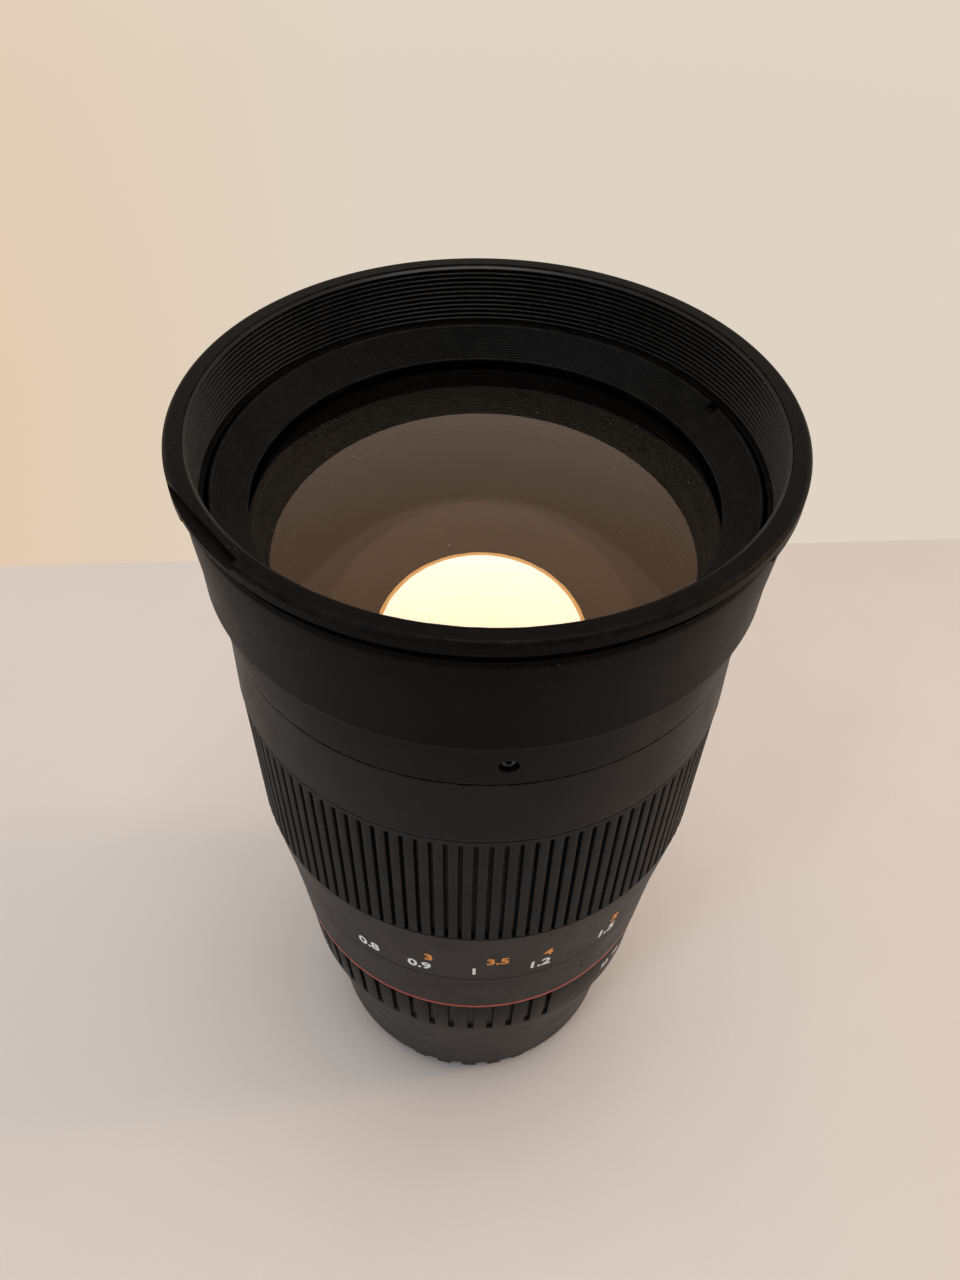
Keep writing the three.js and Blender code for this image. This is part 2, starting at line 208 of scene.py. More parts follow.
def stepped(graph, value, low, high):
    return graph.node(
        "ShaderNodeMapRange", {"clamp": True},
        {"Value": value, "From Min": low, "From Max": high, "To Min": 0.0, "To Max": 1.0},
    )


def tinted(graph, share, first, second):
    colours = [value if isinstance(value, Value) else (*value, 1) for value in (first, second)]
    return graph.node("ShaderNodeMix", {"data_type": "RGBA"}, {0: share, 6: colours[0], 7: colours[1]}, 2)


def makeFinish(name, look):
    material = bpy.data.materials.new(name)
    material.use_nodes = True
    graph = Graph(material.node_tree)
    shader = material.node_tree.nodes["Principled BSDF"]
    place = graph.node("ShaderNodeTexCoord", {}, {}, "Object")
    blotch = stepped(graph, noise(graph, place, look["blotch"], 4.0, 0.6), 0.3, 0.7)
    fine = noise(graph, place, look["grain"], 2.0)
    share = blotch * 0.7 + fine * 0.3
    colour = tinted(graph, share, look["dark"], look["light"])
    wear = graph.node("ShaderNodeAttribute", {"attribute_name": "wear"}, {}, "Fac")
    rubbed = wear * stepped(graph, noise(graph, place, wearPatch, 3.0), 0.35, 0.7) * look["wornShare"]
    colour = tinted(graph, rubbed, colour, look["worn"])
    rough = graph.node(
        "ShaderNodeMapRange", {},
        {"Value": blotch * 0.6 + fine * 0.4, "To Min": look["rough"][0], "To Max": look["rough"][1]},
    )
    if look["dust"] > 0:
        specks = graph.node(
            "ShaderNodeTexVoronoi", {"feature": "F1"},
            {"Vector": place, "Scale": 1 / (lintCell * mm), "Randomness": 1.0},
        )
        patches = stepped(graph, noise(graph, place, lintPatch), 0.48, 0.62)
        lint = (1 - stepped(graph, specks, 0.05, 0.11)) * patches
        colour = tinted(graph, lint * look["dust"], colour, lintTone)
        rough = rough + lint * 0.2
    graph.feed(shader.inputs["Base Color"], colour)
    graph.feed(shader.inputs["Roughness"], rough)
    shader.inputs["Metallic"].default_value = look["metallic"]
    shader.inputs["Specular IOR Level"].default_value = look.get("sheen", 0.5)
    height = fine * (look["depth"] * mm)
    if look.get("lines"):
        parts = graph.node("ShaderNodeSeparateXYZ", {}, {"Vector": place})
        flat = graph.node("ShaderNodeVectorMath", {"operation": "MULTIPLY"}, {0: place, 1: (1, 1, 0)})
        radius = graph.node("ShaderNodeVectorMath", {"operation": "LENGTH"}, {0: flat}, 1)
        along = Value(graph, parts.socket.node.outputs["Z"]) + radius
        turnedLines = graph.node(
            "ShaderNodeTexNoise", {"noise_dimensions": "1D"},
            {"W": along, "Scale": 1 / (look["lines"] * mm), "Detail": 1.0},
        )
        height = height + turnedLines * (look["lineDepth"] * mm)
    bump = graph.node("ShaderNodeBump", {}, {"Height": height, "Strength": 1.0, "Distance": 1.0})
    graph.feed(shader.inputs["Normal"], bump)
    return material


for finishName, finishLook in finishes.items():
    materials[finishName] = makeFinish(finishName, finishLook)

# index of refraction, the coating's tint in the reflection, and the clear and hazy tones of the glass, which
# on the front glass also carry painted shade
glasses = {
    # painted shade: the front glass's clear and hazy tones are darkened so the inside of the lens seen
    # through it reads as if light is lost there
    "frontGlass": dict(
        index=1.75, tint=(0.64, 0.33, 0.16), clear=(0.62, 0.55, 0.48), hazy=(0.59, 0.52, 0.45),
    ),
    # the rear faces of the front glass carry the same darkened tones, painted shade
    "backGlass": dict(
        index=1.75, tint=(0.06, 0.04, 0.03), clear=(0.62, 0.55, 0.48), hazy=(0.59, 0.52, 0.45),
    ),
    "innerGlass": dict(
        index=1.62, tint=(0.34, 0.19, 0.10), clear=(0.97, 0.96, 0.94), hazy=(0.94, 0.93, 0.91),
    ),
    "rearGlass": dict(
        index=1.60, tint=(0.20, 0.34, 0.26), clear=(0.985, 0.99, 0.985), hazy=(0.96, 0.965, 0.96),
    ),
}


def makeGlass(name, look):
    material = bpy.data.materials.new(name)
    material.use_nodes = True
    graph = Graph(material.node_tree)
    shader = material.node_tree.nodes["Principled BSDF"]
    place = graph.node("ShaderNodeTexCoord", {}, {}, "Object")
    haze = stepped(graph, noise(graph, place, 14, 3.0), 0.55, 0.8)
    specks = graph.node(
        "ShaderNodeTexVoronoi", {"feature": "F1"},
        {"Vector": place, "Scale": 1 / (glassLintCell * mm), "Randomness": 1.0},
    )
    lint = 1 - stepped(graph, specks, 0.018, 0.03)
    graph.feed(shader.inputs["Roughness"], haze * 0.005 + lint * 0.35)
    graph.feed(shader.inputs["Base Color"], tinted(graph, haze, look["clear"], look["hazy"]))
    shader.inputs["Transmission Weight"].default_value = 1.0
    shader.inputs["IOR"].default_value = look["index"]
    shader.inputs["Specular Tint"].default_value = (*look["tint"], 1)
    return material


for glassName, glassLook in glasses.items():
    materials[glassName] = makeGlass(glassName, glassLook)
    finishSlots[glassName] = "coated_glass"
print("finishes made:", len(materials))

edge = 0.14  # mm, how far a turned edge is eased
steps = 240  # facets round a turned piece


def around(radius, azimuth, z):
    a = math.radians(azimuth)
    return Vector((radius * math.sin(a), -radius * math.cos(a), z)) * mm


def eased(outline, size=edge):
    # rounds the corners of a closed outline of (radius, height); each point also gets its wear
    count = len(outline)
    area = sum(
        outline[i][0] * outline[(i + 1) % count][1] - outline[(i + 1) % count][0] * outline[i][1]
        for i in range(count)
    )
    if area < 0:
        outline = outline[::-1]
    result = []
    for i, here in enumerate(outline):
        before, after = Vector(outline[i - 1]), Vector(outline[(i + 1) % count])
        point = Vector(here)
        back, ahead = before - point, after - point
        turn = back.angle(ahead, 0.0)
        if math.pi - turn < math.radians(14) or here[0] < 1e-6:
            result.append((here[0], here[1], 0.0))
            continue
        cut = min(size, 0.3 * back.length, 0.3 * ahead.length)
        convex = (-back).cross(ahead) > 0
        start, end = point + back.normalized() * cut, point + ahead.normalized() * cut
        middle = (start + end) / 4 + point / 2
        shoulder = 0.5 if convex else 0.0
        if back.length > 6 * cut:
            result.append((*(point + back.normalized() * cut * 2), 0.0))
        result.append((*start, shoulder))
        result.append((*middle, 1.0 if convex else 0.0))
        result.append((*end, shoulder))
        if ahead.length > 6 * cut:
            result.append((*(point + ahead.normalized() * cut * 2), 0.0))
    return result


def meshFrom(name, bm, sharp=32):
    mesh = bpy.data.meshes.new(name)
    bm.to_mesh(mesh)
    bm.free()
    mesh.polygons.foreach_set("use_smooth", [True] * len(mesh.polygons))
    mesh.set_sharp_from_angle(angle=math.radians(sharp))
    return mesh


def strip(name, stations, closed=False, capped=False):
    # stations are (azimuth, outline) with equal counts; a closed strip joins its last station to its first
    bm = bmesh.new()
    layer = bm.verts.layers.float.new("wear")
    rows = []
    for azimuth, outline in stations:
        row = []
        for point in outline:
            vert = bm.verts.new(around(point[0], azimuth, point[1]))
            vert[layer] = point[2] if len(point) > 2 else 0.0
            row.append(vert)
        rows.append(row)
    count = len(rows[0])
    last = len(rows) if closed else len(rows) - 1
    for k in range(last):
        one, two = rows[k], rows[(k + 1) % len(rows)]
        for i in range(count):
            j = (i + 1) % count
            bm.faces.new((one[i], two[i], two[j], one[j]))
    if capped:
        bm.faces.new(rows[0])
        bm.faces.new(rows[-1][::-1])
    bmesh.ops.remove_doubles(bm, verts=bm.verts, dist=1e-7)
    bmesh.ops.dissolve_degenerate(bm, dist=1e-8, edges=bm.edges)
    return meshFrom(name, bm)


def turned(name, outline, size=edge, count=steps):
    ring = eased(outline, size) if size > 0 else [(*point, 0.0) for point in outline]
    return strip(name, [(360 * k / count, ring) for k in range(count)], closed=True)


def sector(name, outline, start, end, size=edge, pitch=1.5):
    ring = eased(outline, size)
    count = max(2, math.ceil((end - start) / pitch))
    return strip(name, [(start + (end - start) * k / count, ring) for k in range(count + 1)], capped=True)


def together(name, *meshes):
    bm = bmesh.new()
    for mesh in meshes:
        bm.from_mesh(mesh)
    bmesh.ops.remove_doubles(bm, verts=bm.verts, dist=1e-7)
    return meshFrom(name, bm)


def repeatTree():
    # copies of one unit, each turned about the lens axis and raised by fixed steps
    tree = bpy.data.node_groups.new("repeatRoundAxis", "GeometryNodeTree")
    sockets = [
        ("Unit", "NodeSocketGeometry"), ("Count", "NodeSocketInt"), ("Start angle", "NodeSocketFloat"),
        ("Turn", "NodeSocketFloat"), ("Rise", "NodeSocketFloat"), ("Weld", "NodeSocketFloat"),
        ("Finish", "NodeSocketMaterial"),
    ]
    for label, kind in sockets:
        tree.interface.new_socket(label, in_out="INPUT", socket_type=kind)
    tree.interface.new_socket("Result", in_out="OUTPUT", socket_type="NodeSocketGeometry")
    graph = Graph(tree)
    entry = tree.nodes.new("NodeGroupInput")
    given = {label: Value(graph, entry.outputs[label]) for label, kind in sockets}
    index = graph.node("GeometryNodeInputIndex")
    line = graph.node(
        "GeometryNodeMeshLine", {"mode": "OFFSET"}, {"Count": given["Count"], "Offset": (0, 0, 0)}
    )
    height = graph.node("ShaderNodeCombineXYZ", {}, {"Z": index * given["Rise"]})
    placed = graph.node("GeometryNodeSetPosition", {}, {"Geometry": line, "Offset": height})
    spin = graph.node("ShaderNodeCombineXYZ", {}, {"Z": given["Start angle"] + index * given["Turn"]})
    copies = graph.node(
        "GeometryNodeInstanceOnPoints", {}, {"Points": placed, "Instance": given["Unit"], "Rotation": spin}
    )
    real = graph.node("GeometryNodeRealizeInstances", {}, {"Geometry": copies})
    welded = graph.node("GeometryNodeMergeByDistance", {}, {"Geometry": real, "Distance": given["Weld"]})
    painted = graph.node("GeometryNodeSetMaterial", {}, {"Geometry": welded, "Material": given["Finish"]})
    leave = tree.nodes.new("NodeGroupOutput")
    graph.feed(leave.inputs["Result"], painted)
    return tree


repeater = repeatTree()


def repeated(name, unit, count, turn=0.0, start=0.0, rise=0.0, finish="satinBlack", weld=0.002):
    # the unit sits at azimuth 0; angles in degrees, lengths in mm
    source = bpy.data.objects.new(name + "Unit", unit)
    bpy.context.scene.collection.objects.link(source)
    modifier = source.modifiers.new("repeat", "NODES")
    modifier.node_group = repeater
    values = {
        "Count": count, "Start angle": math.radians(start), "Turn": math.radians(turn),
        "Rise": rise * mm, "Weld": weld * mm, "Finish": materials[finish],
    }
    for item in repeater.interface.items_tree:
        if item.in_out == "INPUT" and item.name in values:
            modifier[item.identifier] = values[item.name]
    bpy.context.view_layer.update()
    evaluated = source.evaluated_get(bpy.context.evaluated_depsgraph_get())
    mesh = bpy.data.meshes.new_from_object(evaluated)
    mesh.name = name
    source.modifiers.remove(modifier)
    bpy.data.objects.remove(source)
    return mesh


def drilled(mesh, *tools):
    # a copy of the mesh with the tools taken out of it
    body = bpy.data.objects.new("blank", mesh)
    cutter = bpy.data.objects.new("cutter", together("cutter", *tools))
    for item in (body, cutter):
        bpy.context.scene.collection.objects.link(item)
    modifier = body.modifiers.new("cut", "BOOLEAN")
    modifier.operation = "DIFFERENCE"
    modifier.object = cutter
    modifier.solver = "EXACT"
    bpy.context.view_layer.update()
    result = bpy.data.meshes.new_from_object(body.evaluated_get(bpy.context.evaluated_depsgraph_get()))
    body.modifiers.remove(modifier)
    bpy.data.objects.remove(body)
    bpy.data.objects.remove(cutter)
    bm = bmesh.new()
    bm.from_mesh(result)
    bmesh.ops.dissolve_degenerate(bm, dist=1e-7, edges=bm.edges)
    return meshFrom(mesh.name, bm)


def piece(name, mesh, finish, *nodes):
    mesh.name = name
    mesh.materials.clear()
    mesh.materials.append(materials[finish])
    made = bpy.data.objects.new(name, mesh)
    bpy.context.scene.collection.objects.link(made)
    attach(made, nodeBody[nodes[0]])
    return made


def standIn(name, mesh, finish, *nodes):
    made = piece(name, mesh, finish, *nodes)
    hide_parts(*nodes)
    return made


def pegMesh(name, axisFrom, axisTo, outline, hollow=None, hollowDepth=0.0, count=48):
    # a small turned part from one point to another
    # outline is (radius, share of length), hollow a radius by angle
    bm = bmesh.new()
    layer = bm.verts.layers.float.new("wear")
    length = (axisTo - axisFrom).length
    rows = [(lambda t, r=r: r, z * length, 0.0) for r, z in outline]
    if hollow:
        floor = length - hollowDepth * mm
        rows[-1:] = [(hollow, length, 0.6), (hollow, floor, 0.0), (lambda t: 0.0, floor, 0.0)]
        rows = [(lambda t, f=f: f(t), z, w) for f, z, w in rows]
    turn = (axisTo - axisFrom).to_track_quat("Z", "Y").to_matrix().to_4x4()
    place = Matrix.Translation(axisFrom) @ turn
    rings = []
    for radiusAt, z, wear in rows:
        ring = []
        for k in range(count):
            t = 2 * math.pi * k / count
            r = radiusAt(t) * mm
            vert = bm.verts.new(place @ Vector((r * math.cos(t), r * math.sin(t), z)))
            vert[layer] = wear
            ring.append(vert)
        rings.append(ring)
    for one, two in zip(rings, rings[1:]):
        for k in range(count):
            j = (k + 1) % count
            bm.faces.new((one[k], one[j], two[j], two[k]))
    bmesh.ops.remove_doubles(bm, verts=bm.verts, dist=1e-7)
    return meshFrom(name, bm, 28)


def hexagon(size):
    # radius of a hexagon with that corner radius, by angle
    return lambda t: size * math.cos(math.pi / 6) / math.cos((t % (math.pi / 3)) - math.pi / 6)


def crossSlot(arm, half):
    # radius of a cross recess by angle
    def radius(t):
        a = (t + math.pi / 4) % (math.pi / 2) - math.pi / 4
        return min(arm / math.cos(a), half / max(abs(math.sin(a)), 1e-4))
    return radius


print("tools ready")

frontShell = dict(low=132.7, rim=152.95, bore=38.1, root=38.5, flange=41.0)
filterThread = dict(first=144.1, pitch=0.75, ridges=12, crest=38.1, root=38.52, flat=0.06, half=0.33)
hoodGroove = dict(depth=39.2, low=149.15, high=151.05, start=-60, end=54)
hoodEntry = dict(depth=39.9, low=151.85, start=-68, full=-58, end=-42)


def makeFrontShell():
    s = frontShell
    rim, flange = s["rim"], s["flange"]
    shell = turned("frontShell", [
        (37.6, s["low"]), (39.42, s["low"]), (39.47, 137.4), (39.88, 143.2), (40.08, 148.1), (39.72, 148.95),
        (40.2, 149.25), (flange, 150.2), (flange, rim - 0.45), (flange - 0.45, rim), (s["root"] + 0.12, rim),
        (s["root"], rim - 0.25), (s["root"], 143.85), (s["bore"], 143.8), (s["bore"], 143.5), (37.6, 143.5),
    ], 0.25)
    g, e = hoodGroove, hoodEntry
    groove = sector("groove", [
        (g["depth"], g["low"]), (42, g["low"]), (42, g["high"]), (g["depth"], g["high"]),
    ], g["start"], g["end"], 0)
    entry = strip("entry", [
        (a, [(depth, e["low"]), (42, e["low"]), (42, 154), (depth, 154)])
        for a, depth in ((e["start"], flange + 0.1), (e["full"], e["depth"]), (e["end"], e["depth"]))
    ], capped=True)
    shell = drilled(drilled(shell, groove), entry)
    # the front shell gets the barrel paint with painted shade
    standIn("frontShell", shell, "shadedShellBlack", "front_barrel")
    t = filterThread
    ridge = turned("ridge", [
        (t["crest"], t["first"] - t["flat"]), (t["crest"], t["first"] + t["flat"]),
        (t["root"], t["first"] + t["half"]), (t["root"] + 0.1, t["first"] + t["half"]),
        (t["root"] + 0.1, t["first"] - t["half"]), (t["root"], t["first"] - t["half"]),
    ], 0.05, 180)
    made = piece(
        "filterThread", repeated("filterThread", ridge, t["ridges"], rise=t["pitch"], finish="threadBlack"),
        "threadBlack", "front_barrel",
    )


makeFrontShell()
print("front shell")

collar = dict(screwAt=(5.8, 125.8, 245.8), screwHeight=128.1, hole=1.25, screw=0.95, socket=0.5)
nameBand = dict(dotAt=34.3, dotHeight=54.8, dotSize=0.36, indexAt=95.5, indexWidth=0.62)
rearTube = dict(screwCircle=26.0, screwAt=(45, 135, 225, 315))


def bandRadius(z):
    # outside of the name band at a height
    if z < 56.4:
        return 35.02 + (z - 49.4) * 0.48 / 7
    return 35.5 + (z - 56.4) * 0.52 / 6.1


def makeCollar():
    c = collar
    band = turned("collarBand", [
        (33.1, 123.8), (38.0, 123.8), (38.9, 132.4), (37.5, 132.4), (37.5, 129.8), (33.1, 129.8),
    ])
    holes = [
        pegMesh("hole", around(34, a, c["screwHeight"]), around(40, a, c["screwHeight"]), [
            (0, 0), (c["hole"], 0), (c["hole"], 0.71), (c["hole"] * 1.35, 0.84),
            (c["hole"] * 1.35, 1), (0, 1),
        ])
        for a in c["screwAt"]
    ]
    # the collar band gets the barrel paint with painted shade
    standIn("collarBand", drilled(band, *holes), "shadedShellBlack", "barrel_collar")
    z = c["screwHeight"]
    screw = pegMesh(
        "collarScrew", around(33.4, 0, z), around(37.75, 0, z),
        [
            (0, 0), (c["screw"] - 0.1, 0), (c["screw"], 0.03), (c["screw"], 0.95),
            (c["screw"] - 0.12, 1), (0, 1),
        ],
        hexagon(c["socket"]), 0.9,
    )
    mesh = repeated("collarScrews", screw, 3, turn=120, start=c["screwAt"][0], finish="screwSteel")
    standIn("collarScrews", mesh, "screwSteel", "collar_screw_1", "collar_screw_2", "collar_screw_3")


def makeNameBand():
    n = nameBand
    band = turned("nameBand", [(33.1, 49.4), (35.02, 49.4), (35.5, 56.4), (36.03, 62.66), (33.1, 62.66)])
    dot = pegMesh(
        "dot", around(34.9, n["dotAt"], n["dotHeight"]), around(36, n["dotAt"], n["dotHeight"]),
        [(0, 0), (n["dotSize"], 0), (n["dotSize"], 1), (0, 1)],
    )
    standIn("nameBandShell", drilled(band, dot), "satinBlack", "name_band")
    low, high, at = 50.1, 61.9, n["indexAt"]
    half = math.degrees(n["indexWidth"] / 2 / 35.5)
    heights = [low, 56.4, high]
    outline = [(bandRadius(z) + 0.035, z) for z in heights]
    outline += [(bandRadius(z) - 0.1, z) for z in heights[::-1]]
    mark = sector("focusIndex", outline, at - half, at + half, 0, 0.3)
    piece("focusIndex", mark, "whiteMark", "name_band")


def makeRearTube():
    tube = turned("rearTube", [
        (29.84, 6.5), (30.67, 15.9), (33.5, 34.5), (32.5, 34.7), (32.5, 47.9), (31.0, 47.9), (31.0, 32.0),
        (28.6, 14.0), (28.6, 9.7), (22.5, 9.7), (22.5, 7.9), (29.2, 7.9), (29.2, 6.5),
    ])
    slot = sector("slot", [(30, 43.5), (34, 43.5), (34, 49.2), (30, 49.2)], 191, 255.5, 0)
    ballOutline = [(0, 0), (1.35, 0), (1.35, 1), (0, 1)]
    ball = pegMesh("ball", around(29.5, 80, 41), around(33.5, 80, 41), ballOutline, count=24)
    standIn("rearTubeShell", drilled(tube, slot, ball), "satinBlack", "rear_tube")
    accent = turned("accentLine", [(33.1, 48.5), (34.97, 48.5), (34.97, 49.1), (33.1, 49.1)], 0.08)
    standIn("accentLine", accent, "redPaint", "accent_ring")


makeCollar()
makeNameBand()
makeRearTube()
print("fixed bands")

mount = dict(lugHalf=20, lugTurn=120)
rearCap = dict(
    teeth=32, toothAt=0.6, outer=28.2, gap=27.35, top=5.9, wall=26.6, floor=1.3, toothHalf=3.1, side=0.35,
)


def makeMount():
    ring = turned("mountRing", [
        (21.5, 2.6), (22.9, 2.6), (22.9, 6.2), (28.9, 6.2), (28.9, 7.6), (21.5, 7.6),
    ], 0.12)
    circle, holeOutline = rearTube["screwCircle"], [(0, 0), (1.85, 0), (1.85, 1), (0, 1)]
    holes = [
        pegMesh("hole", around(circle, a, 5.5), around(circle, a, 8.2), holeOutline, count=32)
        for a in rearTube["screwAt"]
    ]
    lugOutline, half = [(22.2, 2.6), (24.2, 2.6), (24.2, 3.8), (22.2, 3.8)], mount["lugHalf"]
    lug = sector("lug", lugOutline, -half, half, 0.15)
    lugs = repeated("lugs", lug, 3, turn=mount["lugTurn"], finish="mountMetal")
    standIn("mountFlange", together("mountFlange", drilled(ring, *holes), lugs), "mountMetal", "mount_ring")
    low, high = around(circle, 0, 9.4), around(circle, 0, 6.3)
    screw = pegMesh(
        "mountScrew", low, high,
        [(0, 0), (0.8, 0), (0.8, 0.64), (0.85, 0.66), (1.45, 0.97), (1.4, 1), (0, 1)],
        crossSlot(0.85, 0.2), 0.7,
    )
    mesh = repeated("mountScrews", screw, 4, turn=90, start=45, finish="screwSteel")
    standIn("mountScrews", mesh, "screwSteel", *[f"mount_screw_{i}" for i in range(1, 5)])


def makeCap():
    c = rearCap
    pitch = 360 / c["teeth"]

    def section(outer, wear):
        return [
            (0, 0, 0), (26.8, 0, 0), (27.0, 0.25, 0), (outer - 0.15, 0.6, 0), (outer, 0.8, wear),
            (outer, c["top"] - 0.3, 0), (outer - 0.18, c["top"] - 0.06, wear),
            (outer - 0.3, c["top"], wear / 2),
            (c["wall"] + 0.2, c["top"], 0.5), (c["wall"], c["top"] - 0.2, 0), (c["wall"], c["floor"], 0),
            (24, c["floor"], 0), (0, c["floor"], 0),
        ]

    tooth, gap, half = section(c["outer"], 0.8), section(c["gap"], 0.1), c["toothHalf"]
    places = [
        (-pitch / 2, gap), (-half - c["side"], gap), (-half, section(c["outer"] - 0.06, 1)),
        (-half + 0.4, tooth), (0, tooth),
        (half - 0.4, tooth), (half, section(c["outer"] - 0.06, 1)), (half + c["side"], gap), (pitch / 2, gap),
    ]
    unit = strip("cupUnit", places)
    cup = repeated("cup", unit, c["teeth"], turn=pitch, start=c["toothAt"], finish="capPlastic")
    claw = sector("claw", [(23.3, 4.4), (27.0, 4.4), (27.0, 5.6), (23.3, 5.6)], -16, 16, 0.15)
    claws = repeated("claws", claw, 3, turn=120, start=60, finish="capPlastic")
    standIn("capShell", together("capShell", cup, claws), "capPlastic", "rear_cap")


makeMount()
makeCap()
print("mount and cap")

apertureRing = dict(
    inner=33.2, low=35.0, top=48.2, floor=33.6, pitch=6.13, lastSlot=24.95, slots=36,
    slotHalf=0.96,
)


def apertureRadius(z):
    return 34.14 + (z - 36.6) * 0.66 / 11.6


def makeApertureRing():
    a = apertureRing
    low, top, pitch = a["low"], a["top"], a["pitch"]

    def section(sink, wear):
        return [
            (a["inner"], low, 0), (33.9, low, 0.4), (34.03, low + 0.13, 1), (34.14, 36.6, 0),
            (apertureRadius(36.8) - sink, 36.8, wear), (apertureRadius(47.9) - sink, 47.9, wear),
            (34.7 - sink, 48.13, max(wear, 0.9)), (34.55 - sink, top, 0.4), (a["inner"], top, 0),
        ]

    floor = [
        (a["inner"], low, 0), (33.9, low, 0.4), (34.03, low + 0.13, 1), (34.14, 36.6, 0),
        (a["floor"], 36.95, 0),
        (a["floor"], 47.9, 0), (a["floor"], 48.13, 0), (a["floor"] - 0.02, top, 0), (a["inner"], top, 0),
    ]
    land, edgeLand, half = section(0, 0), section(0.05, 0.8), a["slotHalf"]
    unit = strip("slotUnit", [
        (-pitch / 2, land), (-half - 0.22, land), (-half, edgeLand), (-half + 0.05, floor), (0, floor),
        (half - 0.05, floor), (half, edgeLand), (half + 0.22, land), (pitch / 2, land),
    ])
    first = a["lastSlot"] - (a["slots"] - 1) * pitch
    slotted = repeated("slotted", unit, a["slots"], turn=pitch, start=first, finish="satinBlack")
    start, end = a["lastSlot"] + pitch / 2, first - pitch / 2 + 360
    count = math.ceil((end - start) / 1.5)
    plain = strip("plain", [(start + (end - start) * k / count, land) for k in range(count + 1)])
    standIn("apertureRingShell", together("apertureRingShell", slotted, plain), "satinBlack", "aperture_ring")


makeApertureRing()
print("aperture ring")

rubber = dict(
    ribs=114, grooveAt=0.35, low=81.9, top=110.5, outer=38.2, inner=36.9, floor=37.05, land=1.15,
    ribHalf=1.06,
)


def scaleRadius(z):
    # outside of the focus ring below the rubber
    places = [(62.8, 36.06), (66.9, 36.4), (75.9, 37.45), (81.6, 38.1)]
    for (z1, r1), (z2, r2) in zip(places, places[1:]):
        if z <= z2:
            return r1 + (z - z1) * (r2 - r1) / (z2 - z1)
    return 38.1


def makeFocusRing():
    ring = turned("focusRing", [
        (33.3, 62.8), (36.06, 62.8), (36.4, 66.9), (37.45, 75.9), (38.1, 81.6), (36.6, 81.6), (36.6, 110.8),
        (38.3, 110.8), (37.9, 123.4), (33.3, 123.4), (33.3, 120.5), (35.3, 120.5), (35.3, 66.5), (33.3, 66.5),
    ])
    standIn("focusRingShell", ring, "satinBlack", "focus_ring")
    r = rubber
    pitch = 360 / r["ribs"]

    def section(sink, wear):
        top = r["top"] - r["land"]
        return [
            (r["inner"], r["low"], 0), (r["outer"] - 0.2 - sink, r["low"], wear),
            (r["outer"] - sink, r["low"] + 0.2, wear),
            (r["outer"] - sink, r["low"] + 1.2, 0), (r["outer"] - sink, top - 0.35, 0),
            (r["outer"] - sink * 0.4, top - 0.12, 0), (r["outer"], top + 0.1, 0.3),
            (r["outer"], r["top"] - 0.2, 0.3), (r["outer"] - 0.2, r["top"], 0.5), (r["inner"], r["top"], 0),
        ]

    rib, side, groove = section(0, 0.25), section(0.08, 0.9), section(r["outer"] - r["floor"], 0)
    half = r["ribHalf"]
    unit = strip("ribUnit", [
        (-pitch / 2, groove), (-half - 0.1, groove), (-half, side), (-half + 0.16, rib), (0, rib),
        (half - 0.16, rib), (half, side), (half + 0.1, groove), (pitch / 2, groove),
    ])
    first = r["grooveAt"] + pitch / 2
    mesh = repeated("rubberRibs", unit, r["ribs"], turn=pitch, start=first, finish="gripRubber")
    standIn("rubberRibs", mesh, "gripRubber", "rubber_grip")


makeFocusRing()
print("focus ring")

numerals = dict(
    size=3.95, width=0.86, weight=0.026, proud=0.04, metreHeight=66.6, feetHeight=71.15, apertureHeight=41.7,
    metres=(("0.8", -28.1), ("0.9", -13.5), ("1", 0.9), ("1.2", 19.5), ("1.5", 40.4), ("2", 60.2),
            ("3", 79.8), ("5", 95.4), ("∞", 118.9)),
    feet=(("3", -10.9), ("3.5", 6.5), ("4", 20.6), ("5", 40.8), ("7", 63.9), ("10", 80.4), ("15", 93.2),
          ("30", 106.1), ("∞", 118.9)),
    apertures=(("22", 49.0), ("16", 55.6), ("11", 62.3), ("8", 68.9), ("5.6", 75.6), ("4", 82.2),
               ("2.8", 88.9), ("2", 95.5)),
)


def infinitySign(size):
    # a figure of eight on its side, drawn as a flat band of even width
    bm = bmesh.new()
    count, reach, half, lift = 72, 0.52 * size, 0.055 * size, numerals["proud"]
    rows = []
    for k in range(count):
        t = 2 * math.pi * k / count
        scale = reach / (1 + math.sin(t) ** 2)
        point = Vector((scale * math.cos(t), 1.25 * scale * math.sin(t) * math.cos(t), 0))
        t += 0.01
        scale = reach / (1 + math.sin(t) ** 2)
        ahead = Vector((scale * math.cos(t), 1.25 * scale * math.sin(t) * math.cos(t), 0)) - point
        across = Vector((-ahead.y, ahead.x, 0)).normalized() * half
        corners = ((across, -lift), (-across, -lift), (-across, lift), (across, lift))
        rows.append([bm.verts.new((point + side + Vector((0, 0, z))) * mm) for side, z in corners])
    for one, two in zip(rows, rows[1:] + rows[:1]):
        for i in range(4):
            bm.faces.new((one[i], one[(i + 1) % 4], two[(i + 1) % 4], two[i]))
    bmesh.ops.recalc_face_normals(bm, faces=bm.faces)
    mesh = bpy.data.meshes.new("infinitySign")
    bm.to_mesh(mesh)
    bm.free()
    return mesh


def textMesh(label, size):
    curve = bpy.data.curves.new("label", "FONT")
    curve.body = label
    curve.size = size * mm
    curve.extrude = numerals["proud"] * mm
    curve.offset = numerals["weight"] * size * mm
    curve.resolution_u = 5
    curve.align_x = "CENTER"
    curve.align_y = "CENTER"
    text = bpy.data.objects.new("label", curve)
    bpy.context.scene.collection.objects.link(text)
    bpy.context.view_layer.update()
    flat = bpy.data.meshes.new_from_object(text.evaluated_get(bpy.context.evaluated_depsgraph_get()))
    bpy.data.objects.remove(text)
    return flat


